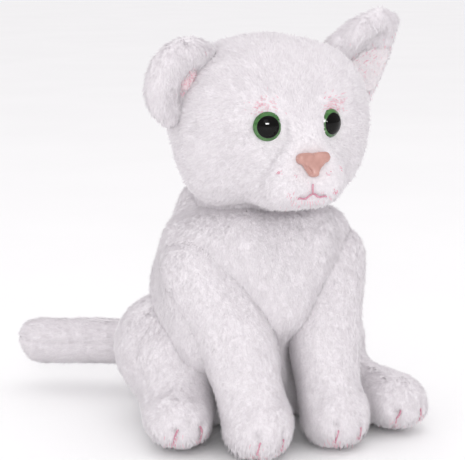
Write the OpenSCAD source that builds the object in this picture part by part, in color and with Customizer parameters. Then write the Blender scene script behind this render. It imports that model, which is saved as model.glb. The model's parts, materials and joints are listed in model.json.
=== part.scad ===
// Plush cat sitting upright: sewn pile-fabric panels over loose stuffing, with
// safety eyes and a safety nose. Millimetres. The cat faces -Y, its left side is +X,
// the flat seat rests on z = 0 with its middle at the origin.

/* [Overall] */
// Thickness of the pile fabric, backing and nap together
fabric_t = 2.4; // [1.5:0.1:4]
// Clearance kept between neighbouring soft parts that move against each other
soft_gap = 0.4; // [0.3:0.1:1]
// Diameter of the stitching thread bundles
thread_d = 1.2; // [0.6:0.1:2]

/* [Torso] */
// Radius of the pelvis lobes
pelvis_r = 33; // [28:0.5:38]
// Half distance between the pelvis lobes
pelvis_x = 16; // [8:0.5:24]
// Radius of the chest lobes
chest_r = 25; // [20:0.5:30]
// Half distance between the chest lobes
chest_x = 20; // [8:0.5:24]
// Height of the chest lobes above the floor
chest_z = 82; // [60:0.5:90]
// Half width of the chest panel between the forelegs
chest_panel_w = 14; // [8:0.5:24]
// Height of the seam round the seat panel
seat_seam_z = 7; // [3:0.5:14]

/* [Neck] */
// Radius of the ball of stuffing that fills the neck opening
neck_r = 22; // [18:0.5:26]
// Height of the middle of the neck
neck_z = 100; // [90:0.5:105]
// Slope of the shoulders under the head, degrees
shoulder_slope = 6; // [4:0.5:12]

/* [Head] */
// Radius of the two skull lobes
skull_r = 33; // [28:0.5:38]
// Height of the skull lobes above the floor
skull_z = 140; // [130:0.5:150]
// Half width of the gusset that runs over the top of the head
gusset_w = 12; // [8:0.5:20]
// Radius of the muzzle lobes
muzzle_r = 13; // [9:0.5:16]
// Height of the muzzle lobes above the floor
muzzle_z = 116; // [108:0.5:124]

/* [Eyes and nose] */
// Diameter of the safety eyes, a stock size
eye_d = 12; // [9:0.5:15]
// Diameter of the black pupil
pupil_d = 9.2; // [6:0.1:12]
// Half distance between the eyes
eye_x = 14.5; // [11:0.5:20]
// Height of the eyes above the floor
eye_z = 138.5; // [130:0.5:146]
// Width of the safety nose
nose_w = 14.5; // [10:0.5:18]
// Height of the safety nose
nose_h = 10.3; // [7:0.1:14]
// Height of the middle of the nose above the floor
nose_z = 124; // [116:0.5:130]

/* [Ears] */
// Half thickness of the rolled ear rim
ear_t = 3.4; // [2.5:0.1:5]
// Reach of the right ear, which is cupped and pulled down
ear_right_l = 18; // [12:0.5:26]
// Reach of the left ear, which stands up and out
ear_left_l = 33; // [22:0.5:38]

/* [Forelegs] */
// Radius of the shoulder end
shoulder_r = 18.5; // [15:0.5:22]
// Radius of the paw
paw_r = 16.6; // [13:0.5:20]
// Half distance between the paws
paw_x = 18.2; // [17.5:0.1:24]
// Distance of the paws in front of the seat middle
paw_y = 40.5; // [36:0.5:50]

/* [Hind legs] */
// Radius of the haunch
haunch_r = 26.3; // [22:0.5:30]
// Radius of the toe end of the foot
foot_r = 16; // [12:0.5:18]
// Radius of the heel
heel_r = 13; // [10:0.5:15]

/* [Tail] */
// Radius of the tail
tail_r = 12.4; // [9:0.2:15]
// Length of the tail from its root
tail_l = 99; // [60:1:110]
// Angle of the tail at rest, from straight back towards the cat's right
tail_rest = 60; // [40:1:65]

/* [Hidden] */
facets = 18;
small_facets = 12;
big = 400;

shoulder_p = [31, -8, 74];
elbow_p = [20.2, -25, 46];
wrist_p = [paw_x, -35, 22];
elbow_r = 18;
paw_p = [paw_x, -paw_y, 14.2];
paw_top_r = 15.8;
fore_lift_max = 40;

haunch_p = [33, 17.5, 31];
heel_p = [41, 4, 13.3];
// toe middles of the two feet: the left foot reaches further forward
toe_right_p = [-45.6, -18.8, 15.8];
toe_left_p = [52, -34, 15.4];
hind_swing_max = 30;

tail_root_p = [0, 48, 25];
tail_drop = 2;
tail_swing_max = 2 * tail_rest;

neck_p = [0, 0, neck_z];
stuffing_gap = 0.2;
// clearance of the neck in its seats: facets of ball and seat pass each other
neck_gap = 0.75;

skull_x = 14;
skull_y = -9;
ear_sit = 31.5; // from the middle of a skull lobe out to the ear's root
ear_right_tilt = -56;
ear_right_p = [-skull_x + ear_sit * sin(ear_right_tilt), -13,
  skull_z + ear_sit * cos(ear_right_tilt)];
ear_right_fold = 14;
ear_left_tilt = 63;
ear_left_p = [skull_x + ear_sit * sin(ear_left_tilt), -7,
  skull_z + ear_sit * cos(ear_left_tilt)];
ear_flap = 18;

eye_y = -41.2;
eye_yaw = 20;
nose_y = -53.6;
nose_tilt = 12;

// every soft form is a facetted ball or a hull of them
module ball(p, r, n = facets) { translate(p) hull() sphere(r = r, $fn = n); }
module twins(p, r) { ball(p, r); ball([-p.x, p.y, p.z], r); }
module above(z) { translate([-big / 2, -big / 2, z]) cube([big, big, big]); }
module side(s, x = 0) { // everything further out than x on side s
  translate([s > 0 ? x : -x - big, -big / 2, -big / 2]) cube([big, big, big]);
}

// ---------------------------------------------------------------- torso

module torso_form(t) {
  intersection() {
    hull() {
      twins([pelvis_x, 12, 28], pelvis_r - t);
      ball([0, 19, 29], pelvis_r - 2 - t);
      twins([chest_x - 2, 13, 62], chest_r + 1 - t);
      twins([chest_x, -1, chest_z], chest_r - t);
      ball([0, -6, 34], 22 - t);
    }
    above(t);
  }
}

// room for the head to nod and turn above the shoulders
module shoulder_cut() {
  reach = 90;
  translate([0, 0, neck_z + 0.8 - reach * tan(shoulder_slope)])
    difference() {
      translate([-reach, -reach, 0]) cube([2 * reach, 2 * reach, 80]);
      translate([0, 0, -0.01])
        cylinder(h = reach * tan(shoulder_slope), r1 = reach, r2 = 0, $fn = 48);
    }
}

// the path of a foreleg through its lift, grown by the clearance
module foreleg_path(s) {
  hull() for (a = [0, fore_lift_max]) foreleg_at(s, a, -soft_gap - 0.1);
}

module tail_path() {
  hull() for (a = [0, -tail_swing_max / 2, -tail_swing_max])
    tail_at(a, -soft_gap - 0.1);
}

module torso_clearances() {
  shoulder_cut();
  ball(neck_p, neck_r + neck_gap);
  foreleg_path(1);
  foreleg_path(-1);
  for (s = [-1, 1]) {
    ball([s * haunch_p.x, haunch_p.y, haunch_p.z], haunch_r + soft_gap + 0.2);
    hind_path(s);
  }
  tail_path();
}

module torso_shell() {
  difference() {
    torso_form(0);
    torso_form(fabric_t);
    torso_clearances();
  }
}

module chest_zone() {
  translate([-chest_panel_w, -big, seat_seam_z]) cube([2 * chest_panel_w, big, big]);
}

module back_panel(s) {
  difference() {
    intersection() { torso_shell(); side(s); above(seat_seam_z); }
    chest_zone();
    seam_slot();
  }
}

module back_panel_right() { color("#f2eef0") back_panel(-1); }
module back_panel_left() { color("#f2eef0") back_panel(1); }
module chest_panel() {
  color("#f5f1f3") intersection() { torso_shell(); chest_zone(); }
}
module seat_panel() {
  color("#ebe6e9") difference() { torso_shell(); above(seat_seam_z); }
}

pouch_r = 11.4;
module pouch_form() { // lies along the middle of the seat panel
  intersection() {
    hull() { ball([0, 3, 12], pouch_r - 0.6); ball([0, 22, 12], pouch_r); }
    above(fabric_t + stuffing_gap);
  }
}

module torso_stuffing() {
  color("#fbfaf6") difference() {
    torso_form(fabric_t + stuffing_gap);
    torso_clearances();
    pouch_form();
  }
}
module bean_pouch() { color("#d9d4c8") pouch_form(); }

// ladder-stitched closing seam down the middle of the back
module seam_slot() {
  translate([-thread_d / 2, 20, 42]) cube([thread_d, 50, 44]);
}
module closing_seam() {
  color("#e8e2e6") intersection() { torso_shell(); seam_slot(); }
}

// ---------------------------------------------------------------- neck

module neck_skin() {
  color("#f0ecee") difference() {
    ball(neck_p, neck_r);
    ball(neck_p, neck_r - fabric_t);
    above(neck_z + 18);
    mirror([0, 0, 1]) above(-neck_z + 18);
  }
}
module neck_stuffing() {
  color("#fbfaf6") ball(neck_p, neck_r - fabric_t - stuffing_gap);
}

// ---------------------------------------------------------------- head

module skull_form(t) {
  hull() {
    twins([skull_x, skull_y, skull_z], skull_r - t);
    ball([0, -6, skull_z + 1], skull_r + 1.5 - t);
    twins([22, -12, 127], 23.5 - t);
    ball([0, 6, 134], 26 - t);
    ball([0, -17, 118.5], 17 - t);
  }
}
module muzzle_form(t) {
  hull() {
    twins([8.5, -42, muzzle_z], muzzle_r - t);
    ball([0, -42, 126.5], 10.5 - t);
    ball([0, -30, 133], 12 - t);
    twins([10, -30, 118], 14 - t);
  }
}
module head_form(t) { skull_form(t); muzzle_form(t); }

module eye_place(s) {
  translate([s * eye_x, eye_y, eye_z]) rotate([90, 0, s * eye_yaw]) children();
}
module nose_place() {
  translate([0, nose_y, nose_z]) rotate([90 - nose_tilt, 0, 0]) children();
}
shank_r = 2;
shank_l = 11;
module head_holes() {
  ball(neck_p, neck_r + neck_gap);
  for (s = [-1, 1]) eye_place(s) {
    translate([0, 0, -shank_l - 0.1]) cylinder(r = shank_r + 0.1, h = 30, $fn = 24);
    translate([0, 0, -1.2]) cylinder(r = eye_d / 2 + 0.1, h = 30, $fn = 40);
  }
  nose_place() {
    translate([0, 0, -shank_l - 0.1]) cylinder(r = shank_r + 0.1, h = 20, $fn = 24);
    translate([0, 0, -1.5]) linear_extrude(20) nose_outline(0.1);
  }
  ear_right_place() ear_slot(18, ear_right_fold);
  ear_left_place() ear_slot(13, 0);
}

module head_shell() {
  difference() { head_form(0); head_form(fabric_t); head_holes(); }
}

muzzle_seam_y = -35;
chin_seam_z = 111;
module muzzle_zone() {
  translate([-30, -big + muzzle_seam_y, chin_seam_z]) cube([60, big, 25]);
}
module chin_zone() { translate([-big / 2, -big, 0]) cube([big, big, chin_seam_z]); }
module gusset_zone() {
  translate([-gusset_w, -big / 2, chin_seam_z]) cube([2 * gusset_w, big, big]);
}

module head_side(s) {
  difference() {
    intersection() { head_shell(); side(s); }
    muzzle_zone();
    chin_zone();
    gusset_zone();
  }
}
module head_side_right() { color("#f2eef0") head_side(-1); }
module head_side_left() { color("#f2eef0") head_side(1); }
module head_gusset() {
  color("#f5f1f3") difference() {
    intersection() { head_shell(); gusset_zone(); }
    muzzle_zone();
  }
}
module muzzle_panel() {
  color("#f6f0f1") difference() {
    intersection() { head_shell(); muzzle_zone(); }
    mouth_threads(0.15);
  }
}
module chin_panel() {
  color("#efe9ec") difference() {
    intersection() { head_shell(); chin_zone(); }
    mouth_threads(0.15);
  }
}

washer_r = 6.5;
washer_t = 1.6;
module washer_disc(grow = 0) {
  translate([0, 0, -shank_l + 1.5 - grow])
    difference() {
      cylinder(r = washer_r + grow, h = washer_t + 2 * grow, $fn = 32);
      if (grow == 0)
        translate([0, 0, -1]) cylinder(r = shank_r + 0.05, h = 5, $fn = 24);
    }
}
module head_stuffing() {
  color("#fbfaf6") difference() {
    head_form(fabric_t + stuffing_gap);
    head_holes();
    for (s = [-1, 1]) eye_place(s) washer_disc(0.1);
    nose_place() washer_disc(0.1);
  }
}

// safety eye: green rim and shank in one moulding, seat for the pupil in front
module eye_body() {
  r = eye_d / 2;
  translate([0, 0, -1]) cylinder(r = r, h = 2.4, $fn = 40);
  translate([0, 0, 1.4]) cylinder(r1 = r, r2 = pupil_d / 2 + 0.6, h = 1, $fn = 40);
  translate([0, 0, -shank_l]) cylinder(r = shank_r, h = shank_l, $fn = 24);
}
pupil_dome_r = pupil_d / 2 + 1.2;
pupil_rise = 2.1;
module pupil_body() {
  // a shallow dome standing in the green rim
  intersection() {
    translate([0, 0, 1.4 + pupil_rise - pupil_dome_r + 1])
      sphere(r = pupil_dome_r, $fn = 48);
    translate([0, 0, 1.4]) cylinder(r = pupil_d / 2, h = 4, $fn = 40);
  }
}
module eye(s) {
  color("#5fa052") eye_place(s) difference() { eye_body(); pupil_body(); }
}
module eye_right() { eye(-1); }
module eye_left() { eye(1); }
module pupil_right() { color("#141414") eye_place(-1) pupil_body(); }
module pupil_left() { color("#141414") eye_place(1) pupil_body(); }
module eye_washer_right() { color("#c9c9c9") eye_place(-1) washer_disc(); }
module eye_washer_left() { color("#c9c9c9") eye_place(1) washer_disc(); }

// rounded T: a wide bar on top, a short stem below
module nose_outline(grow) {
  bar_r = nose_h * 0.22 + grow;
  stem_r = nose_h * 0.2 + grow;
  hull() for (s = [-1, 1])
    translate([s * (nose_w / 2 - nose_h * 0.22), nose_h * 0.24]) circle(r = bar_r, $fn = 24);
  hull() for (s = [-1, 1]) {
    translate([s * 2.6, 0.6]) circle(r = stem_r, $fn = 24);
    translate([s * 0.4, -nose_h / 2 + nose_h * 0.2]) circle(r = stem_r, $fn = 24);
  }
}
nose_rise = 2.6;
module nose() {
  color("#c9968a") nose_place() {
    translate([0, 0, -1.4]) linear_extrude(nose_rise + 0.6) nose_outline(0);
    translate([0, 0, nose_rise - 0.8]) linear_extrude(0.8) nose_outline(-0.7);
    translate([0, 0, -shank_l]) cylinder(r = shank_r, h = shank_l, $fn = 24);
  }
}
module nose_washer() { color("#c9c9c9") nose_place() washer_disc(); }

// stitched mouth: a short line below the nose and two arms sloping down
module thread_run(a, b, grow) {
  hull() { ball(a, thread_d / 2 + grow, 8); ball(b, thread_d / 2 + grow, 8); }
}
module mouth_threads(grow) {
  top = [0, -54.6, 115.5];
  fork = [0, -54.4, 111.6];
  thread_run(top, fork, grow);
  for (s = [-1, 1]) thread_run(fork, [s * 6.2, -53.6, 108.2], grow);
}
module mouth_stitch() { color("#d98aa2") mouth_threads(0); }

// ---------------------------------------------------------------- ears

module ear_right_place() {
  translate(ear_right_p) rotate([0, ear_right_tilt, 0]) children();
}
module ear_left_place() {
  translate(ear_left_p) rotate([0, ear_left_tilt, 0]) children();
}
// slot in the head: a groove for the sewn root, flared for the flap of the ear
module ear_slot(half, lean) {
  r = ear_t + 2 * soft_gap;
  flare = 12 * tan(ear_flap + 4 + lean);
  rotate([90, 0, 90]) translate([0, 0, -half - soft_gap])
    linear_extrude(2 * (half + soft_gap))
      union() {
        circle(r = r, $fn = 24);
        polygon([[-r, 0], [r, 0], [r + flare, 12], [-r - flare, 12]]);
      }
}
module ear_root(half) {
  rotate([0, 90, 0]) cylinder(r = ear_t, h = 2 * half, center = true, $fn = 16);
}
module ear_right_form() {
  l = ear_right_l;
  rotate([ear_right_fold, 0, 0]) hull() {
    ear_root(13.5);
    ball([-14, 0, 6], ear_t, small_facets);
    ball([-9, 0.5, l * 0.68], ear_t, small_facets);
    ball([0, 0.5, l * 0.87], ear_t, small_facets);
    ball([9, 0, l * 0.72], ear_t, small_facets);
  }
}
module ear_left_form() {
  l = ear_left_l;
  hull() {
    ear_root(12.5);
    ball([-13.5, 2.5, l - 2.5], ear_t + 0.6, small_facets);
    ball([-9, 2.5, l], ear_t + 0.6, small_facets);
    ball([0, 1.5, l * 0.72], ear_t, small_facets);
  }
}
module ear_bowl(p, r) { translate(p) sphere(r = r, $fn = 32); }
lining_t = 1.2;
bowl_right_p = [-2, -14, 7];
bowl_right_r = 14.5;
bowl_left_p = [-4, -20, 11];
bowl_left_r = 20.5;

module ear_back_right() {
  color("#f2eef0") ear_right_place() difference() {
    ear_right_form();
    ear_bowl(bowl_right_p, bowl_right_r);
  }
}
module ear_lining_right() {
  color("#eec3cb") ear_right_place() intersection() {
    ear_right_form();
    difference() {
      ear_bowl(bowl_right_p, bowl_right_r);
      ear_bowl(bowl_right_p, bowl_right_r - lining_t);
    }
  }
}
module ear_back_left() {
  color("#f2eef0") ear_left_place() difference() {
    ear_left_form();
    ear_bowl(bowl_left_p, bowl_left_r);
  }
}
module ear_lining_left() {
  color("#eec3cb") ear_left_place() intersection() {
    ear_left_form();
    difference() {
      ear_bowl(bowl_left_p, bowl_left_r);
      ear_bowl(bowl_left_p, bowl_left_r - lining_t);
    }
  }
}

// ---------------------------------------------------------------- forelegs

module foreleg_form(s, t) {
  intersection() {
    union() {
      hull() {
        ball([s * shoulder_p.x, shoulder_p.y, shoulder_p.z], shoulder_r - t);
        ball([s * elbow_p.x, elbow_p.y, elbow_p.z], elbow_r - t);
      }
      hull() {
        ball([s * elbow_p.x, elbow_p.y, elbow_p.z], elbow_r - t);
        ball([s * wrist_p.x, wrist_p.y, wrist_p.z], paw_top_r - t);
      }
      hull() {
        ball([s * wrist_p.x, wrist_p.y, wrist_p.z], paw_top_r - t);
        ball([s * paw_p.x, paw_p.y, paw_p.z], paw_r - t);
      }
    }
    above(t);
    side(s, 0.5 + t);
  }
}
// the foreleg turned about its shoulder; lift swings the paw forward and up
module foreleg_at(s, lift, t) {
  translate(shoulder_p - [shoulder_p.x, 0, 0]) rotate([-lift, 0, 0])
    translate(-shoulder_p + [shoulder_p.x, 0, 0])
      hull() foreleg_form(s, t);
}
module foreleg_shell(s) {
  difference() { foreleg_form(s, 0); foreleg_form(s, fabric_t); }
}
// the front and back seams of the leg run in a plane through shoulder and paw
module foreleg_outer_zone(s) {
  translate([s * 18, 0, 20]) rotate([0, s * 11, 0])
    translate([s > 0 ? 0 : -big, -big / 2, -big / 2]) cube([big, big, big]);
}
module foreleg_outer(s) {
  difference() {
    intersection() { foreleg_shell(s); foreleg_outer_zone(s); }
    toe_threads(s, 0.1);
  }
}
module foreleg_inner(s) {
  difference() { foreleg_shell(s); foreleg_outer_zone(s); toe_threads(s, 0.1); }
}
module foreleg_stuffing(s) {
  color("#fbfaf6") difference() {
    foreleg_form(s, fabric_t + stuffing_gap);
    toe_threads(s, 0.1);
  }
}
toe_gap = 6;
module toe_threads(s, grow) {
  for (k = [-1, 1]) {
    x = s * paw_x + k * toe_gap;
    thread_run([x, -paw_y - 15, 10.5], [x, -paw_y - 12.2, 4.6], grow);
  }
}
module foreleg_outer_right() { color("#f2eef0") foreleg_outer(-1); }
module foreleg_inner_right() { color("#efeaed") foreleg_inner(-1); }
module foreleg_stuffing_right() { foreleg_stuffing(-1); }
module foreleg_outer_left() { color("#f2eef0") foreleg_outer(1); }
module foreleg_inner_left() { color("#efeaed") foreleg_inner(1); }
module foreleg_stuffing_left() { foreleg_stuffing(1); }
module toe_stitches_right() { color("#e79db3") toe_threads(-1, 0); }
module toe_stitches_left() { color("#e79db3") toe_threads(1, 0); }

// ---------------------------------------------------------------- hind legs

function toe_p(s) = s > 0 ? toe_left_p : toe_right_p;
module foot_form(s, t) {
  hull() {
    ball([s * heel_p.x, heel_p.y, heel_p.z], heel_r - t);
    ball(toe_p(s), foot_r - t);
  }
}
module hind_form(s, t) {
  intersection() {
    union() {
      ball([s * haunch_p.x, haunch_p.y, haunch_p.z], haunch_r - t);
      foot_form(s, t);
    }
    above(t);
  }
}
module hind_at(s, swing) {
  translate([s * haunch_p.x, haunch_p.y, 0]) rotate([0, 0, s * swing])
    translate([-s * haunch_p.x, -haunch_p.y, 0])
      foot_form(s, -soft_gap - 0.1);
}
module hind_path(s) { hull() for (a = [0, hind_swing_max]) hind_at(s, a); }
module hind_shell(s) {
  difference() { hind_form(s, 0); hind_form(s, fabric_t); }
}
module hind_outer(s) {
  difference() {
    intersection() { hind_shell(s); side(s, haunch_p.x + 9); }
    foot_threads(s, 0.1);
  }
}
module hind_inner(s) {
  difference() { hind_shell(s); side(s, haunch_p.x + 9); foot_threads(s, 0.1); }
}
module hind_stuffing(s) {
  color("#fbfaf6") difference() {
    hind_form(s, fabric_t + stuffing_gap);
    foot_threads(s, 0.1);
  }
}
module foot_threads(s, grow) {
  p = toe_p(s);
  for (k = [-1, 1]) {
    x = p.x + k * toe_gap;
    thread_run([x, p.y - 14, p.z - 3.6], [x, p.y - 11, p.z - 9.6], grow);
  }
}
module thigh_outer_right() { color("#f2eef0") hind_outer(-1); }
module thigh_inner_right() { color("#efeaed") hind_inner(-1); }
module hind_stuffing_right() { hind_stuffing(-1); }
module thigh_outer_left() { color("#f2eef0") hind_outer(1); }
module thigh_inner_left() { color("#efeaed") hind_inner(1); }
module hind_stuffing_left() { hind_stuffing(1); }
module foot_stitches_right() { color("#e79db3") foot_threads(-1, 0); }
module foot_stitches_left() { color("#e79db3") foot_threads(1, 0); }

// ---------------------------------------------------------------- tail

module tail_form(t) {
  hull() {
    ball([0, 0, 0], tail_r - t);
    ball([0, tail_l - tail_r - 4, -tail_drop], tail_r - t);
    ball([0, tail_l - tail_r, 2 - tail_drop], tail_r - 2 - t);
  }
}
// swing 0 is the rest pose, out to the cat's right
module tail_at(swing, t) {
  translate(tail_root_p) rotate([0, 0, tail_rest + swing]) tail_form(t);
}
module tail_shell() {
  difference() { tail_at(0, 0); tail_at(0, fabric_t); }
}
module tail_top() {
  color("#f2eef0") intersection() { tail_shell(); above(tail_root_p.z); }
}
module tail_under() {
  color("#efeaed") difference() { tail_shell(); above(tail_root_p.z); }
}
module tail_stuffing() { color("#fbfaf6") tail_at(0, fabric_t + stuffing_gap); }

back_panel_right();
back_panel_left();
chest_panel();
seat_panel();
torso_stuffing();
bean_pouch();
closing_seam();
neck_skin();
neck_stuffing();
head_side_right();
head_side_left();
head_gusset();
muzzle_panel();
chin_panel();
head_stuffing();
eye_right();
eye_left();
pupil_right();
pupil_left();
eye_washer_right();
eye_washer_left();
nose();
nose_washer();
mouth_stitch();
ear_back_right();
ear_lining_right();
ear_back_left();
ear_lining_left();
foreleg_outer_right();
foreleg_inner_right();
foreleg_stuffing_right();
foreleg_outer_left();
foreleg_inner_left();
foreleg_stuffing_left();
toe_stitches_right();
toe_stitches_left();
thigh_outer_right();
thigh_inner_right();
hind_stuffing_right();
thigh_outer_left();
thigh_inner_left();
hind_stuffing_left();
foot_stitches_right();
foot_stitches_left();
tail_top();
tail_under();
tail_stuffing();
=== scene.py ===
"""Looks of the plush cat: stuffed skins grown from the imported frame, a short pile of
mesh fibres, safety eyes, a safety nose and pink stitching. Metres; the cat faces -Y."""
import json
import math

import bmesh
import bpy
import numpy as np
from mathutils import Matrix, Vector
from mathutils import noise as smooth_noise
from mathutils.bvhtree import BVHTree
from mathutils.kdtree import KDTree


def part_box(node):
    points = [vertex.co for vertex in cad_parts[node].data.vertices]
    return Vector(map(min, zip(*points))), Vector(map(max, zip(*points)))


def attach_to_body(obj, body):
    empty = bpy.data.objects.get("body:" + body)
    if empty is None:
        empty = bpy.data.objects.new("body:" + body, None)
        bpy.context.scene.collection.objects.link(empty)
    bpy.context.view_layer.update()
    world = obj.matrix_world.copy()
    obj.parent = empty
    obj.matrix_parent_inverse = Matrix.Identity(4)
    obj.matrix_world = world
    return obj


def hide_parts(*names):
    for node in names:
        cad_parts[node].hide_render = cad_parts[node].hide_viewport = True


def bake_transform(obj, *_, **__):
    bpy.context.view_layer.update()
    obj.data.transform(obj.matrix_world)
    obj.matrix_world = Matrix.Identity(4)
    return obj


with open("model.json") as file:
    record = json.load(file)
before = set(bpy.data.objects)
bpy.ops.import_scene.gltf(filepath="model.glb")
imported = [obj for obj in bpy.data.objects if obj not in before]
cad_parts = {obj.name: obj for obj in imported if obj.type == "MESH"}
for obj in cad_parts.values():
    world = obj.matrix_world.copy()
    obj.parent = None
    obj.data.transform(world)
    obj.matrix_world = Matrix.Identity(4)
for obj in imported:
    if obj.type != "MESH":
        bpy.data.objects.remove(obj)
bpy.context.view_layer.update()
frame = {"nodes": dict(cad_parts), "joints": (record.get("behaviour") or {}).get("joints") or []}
MM = 0.001

# ---------------------------------------------------------------- places, from the frame

JOINT = {j["name"]: Vector(j["pos_m"]) for j in frame["joints"]}
SIDES = (("right", -1), ("left", 1))


def mm(x, y, z):
    return Vector((x, y, z)) * MM


def middle(node):
    lo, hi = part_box(node)
    return (lo + hi) / 2


def front(node):
    """The foremost point of a small node."""
    lo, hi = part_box(node)
    return Vector(((lo.x + hi.x) / 2, lo.y, (lo.z + hi.z) / 2))


EYE = {side: front("pupil_" + side) for side, _ in SIDES}
NOSE = front("nose")
NECK = JOINT["head_turn"]
HEAD = middle("head_stuffing")
SHOULDER = {s: JOINT["foreleg_%s_lift" % s] for s, _ in SIDES}
PAW = {s: front("toe_stitches_" + s) for s, _ in SIDES}
HAUNCH = {s: JOINT["hindleg_%s_swing" % s] for s, _ in SIDES}
FOOT = {s: front("foot_stitches_" + s) for s, _ in SIDES}
TAIL = JOINT["tail_swing"]
TAIL_END = middle("tail_stuffing") * 2 - TAIL
EAR = {s: JOINT["ear_%s_flap" % s] for s, _ in SIDES}
EAR_AXIS = {j["name"].split("_")[1]: Vector(j["axis"]).normalized()
            for j in frame["joints"] if j["name"].startswith("ear")}

# ---------------------------------------------------------------- materials


def material(name, colour, roughness=0.9, sheen=0.0, coat=0.0):
    m = bpy.data.materials.new(name)
    m.use_nodes = True
    b = m.node_tree.nodes["Principled BSDF"]
    b.inputs["Base Color"].default_value = (*colour, 1)
    b.inputs["Roughness"].default_value = roughness
    b.inputs["Sheen Weight"].default_value = sheen
    b.inputs["Sheen Roughness"].default_value = 0.45
    b.inputs["Coat Weight"].default_value = coat
    b.inputs["Coat Roughness"].default_value = 0.03
    return m


def nodes_of(m):
    t = m.node_tree
    return t, t.nodes["Principled BSDF"]


def add_noise(m, scale, low, high):
    """The colour varies between low and high over the surface."""
    t, b = nodes_of(m)
    coord = t.nodes.new("ShaderNodeTexCoord")
    noise = t.nodes.new("ShaderNodeTexNoise")
    noise.inputs["Scale"].default_value = scale
    noise.inputs["Detail"].default_value = 4.0
    ramp = t.nodes.new("ShaderNodeValToRGB")
    ramp.color_ramp.elements[0].position = 0.35
    ramp.color_ramp.elements[1].position = 0.65
    ramp.color_ramp.elements[0].color = (*low, 1)
    ramp.color_ramp.elements[1].color = (*high, 1)
    t.links.new(coord.outputs["Object"], noise.inputs["Vector"])
    t.links.new(noise.outputs["Fac"], ramp.inputs["Fac"])
    t.links.new(ramp.outputs["Color"], b.inputs["Base Color"])


def add_bump(m, scale, strength, distance=0.0004):
    """Fine relief in the shading only, on top of the modelled shape."""
    t, b = nodes_of(m)
    coord = t.nodes.new("ShaderNodeTexCoord")
    noise = t.nodes.new("ShaderNodeTexNoise")
    noise.inputs["Scale"].default_value = scale
    noise.inputs["Detail"].default_value = 3.0
    bump = t.nodes.new("ShaderNodeBump")
    bump.inputs["Strength"].default_value = strength
    bump.inputs["Distance"].default_value = distance
    t.links.new(coord.outputs["Object"], noise.inputs["Vector"])
    t.links.new(noise.outputs["Fac"], bump.inputs["Height"])
    t.links.new(bump.outputs["Normal"], b.inputs["Normal"])


WHITE = (0.80, 0.765, 0.79)
FLUSH = (0.82, 0.54, 0.60)
ROSE = (0.76, 0.32, 0.42)


def backing_material(name, colour):
    """The knitted backing under the pile: mottled, with a fine nap."""
    m = material(name, colour, 0.95, sheen=0.35)
    add_noise(m, 900, tuple(c * 0.93 for c in colour), tuple(min(1, c * 1.04) for c in colour))
    add_bump(m, 1600, 0.5)
    return m


BACKING = backing_material("plush_backing", WHITE)
# The right ear's lining is a darker, pinker copy of the same cloth: partly its pink and partly
# painted shade in the slit of the folded ear.
LINING = {"right": backing_material("ear_lining_cloth", (0.83, 0.70, 0.725)),
          "left": backing_material("ear_lining_pale_cloth", (0.82, 0.77, 0.785))}
PILE = [material("pile_clean", WHITE, 0.85, sheen=0.25),
        material("pile_bright", (0.84, 0.81, 0.83), 0.85, sheen=0.25),
        material("pile_shade", (0.755, 0.715, 0.745), 0.85, sheen=0.25),
        material("pile_flush", FLUSH, 0.85, sheen=0.2),
        material("pile_rose", ROSE, 0.85, sheen=0.2)]
CLEAN, BRIGHT, SHADE, PALE_PINK, PINK = range(len(PILE))

# ---------------------------------------------------------------- mesh helpers


def new_object(name, mesh):
    o = bpy.data.objects.new(name, mesh)
    bpy.context.scene.collection.objects.link(o)
    return o


def coords(o):
    co = np.empty(len(o.data.vertices) * 3, np.float32)
    o.data.vertices.foreach_get("co", co)
    return co.reshape(-1, 3).astype(float)


def normals(o):
    no = np.empty(len(o.data.vertices) * 3, np.float32)
    o.data.vertices.foreach_get("normal", no)
    return no.reshape(-1, 3).astype(float)


def set_coords(o, co):
    o.data.vertices.foreach_set("co", co.astype(np.float32).ravel())
    o.data.update()


def apply_modifiers(o):
    dg = bpy.context.evaluated_depsgraph_get()
    mesh = bpy.data.meshes.new_from_object(o.evaluated_get(dg))
    o.modifiers.clear()
    o.data = mesh
    return o


def remeshed(o, voxel, smooth=0):
    r = o.modifiers.new("remesh", "REMESH")
    r.mode = "VOXEL"
    r.voxel_size = voxel
    if smooth:
        s = o.modifiers.new("smooth", "SMOOTH")
        s.factor = 0.5
        s.iterations = smooth
    return apply_modifiers(o)


def islands(bm):
    """The connected groups of vertices, in the order of their first vertices."""
    seen, groups = set(), []
    for first in bm.verts:
        if first in seen:
            continue
        seen.add(first)
        group, todo = [first], [first]
        while todo:
            for e in todo.pop().link_edges:
                for v in e.verts:
                    if v not in seen:
                        seen.add(v)
                        group.append(v)
                        todo.append(v)
        groups.append(group)
    return groups


def keep_largest(o):
    """Drops the little shells that a remesh leaves inside a stuffed form."""
    bm = bmesh.new()
    bm.from_mesh(o.data)
    best = set(max(islands(bm), key=len))
    drop = [v for v in bm.verts if v not in best]
    bmesh.ops.delete(bm, geom=drop, context="VERTS")
    bm.to_mesh(o.data)
    bm.free()
    return o


def add_ball(bm, centre, radius):
    bmesh.ops.create_icosphere(bm, subdivisions=4, radius=radius,
                               matrix=Matrix.Translation(centre))


def add_hull(bm, balls):
    """The hull of some balls, each a (centre, radius) pair."""
    part = bmesh.new()
    for centre, radius in balls:
        add_ball(part, centre, radius)
    hull = bmesh.ops.convex_hull(part, input=part.verts)
    inside = [v for v in hull["geom_interior"] if isinstance(v, bmesh.types.BMVert)]
    bmesh.ops.delete(part, geom=inside, context="VERTS")
    mesh = bpy.data.meshes.new("hull")
    part.to_mesh(mesh)
    part.free()
    bm.from_mesh(mesh)
    bpy.data.meshes.remove(mesh)


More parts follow.
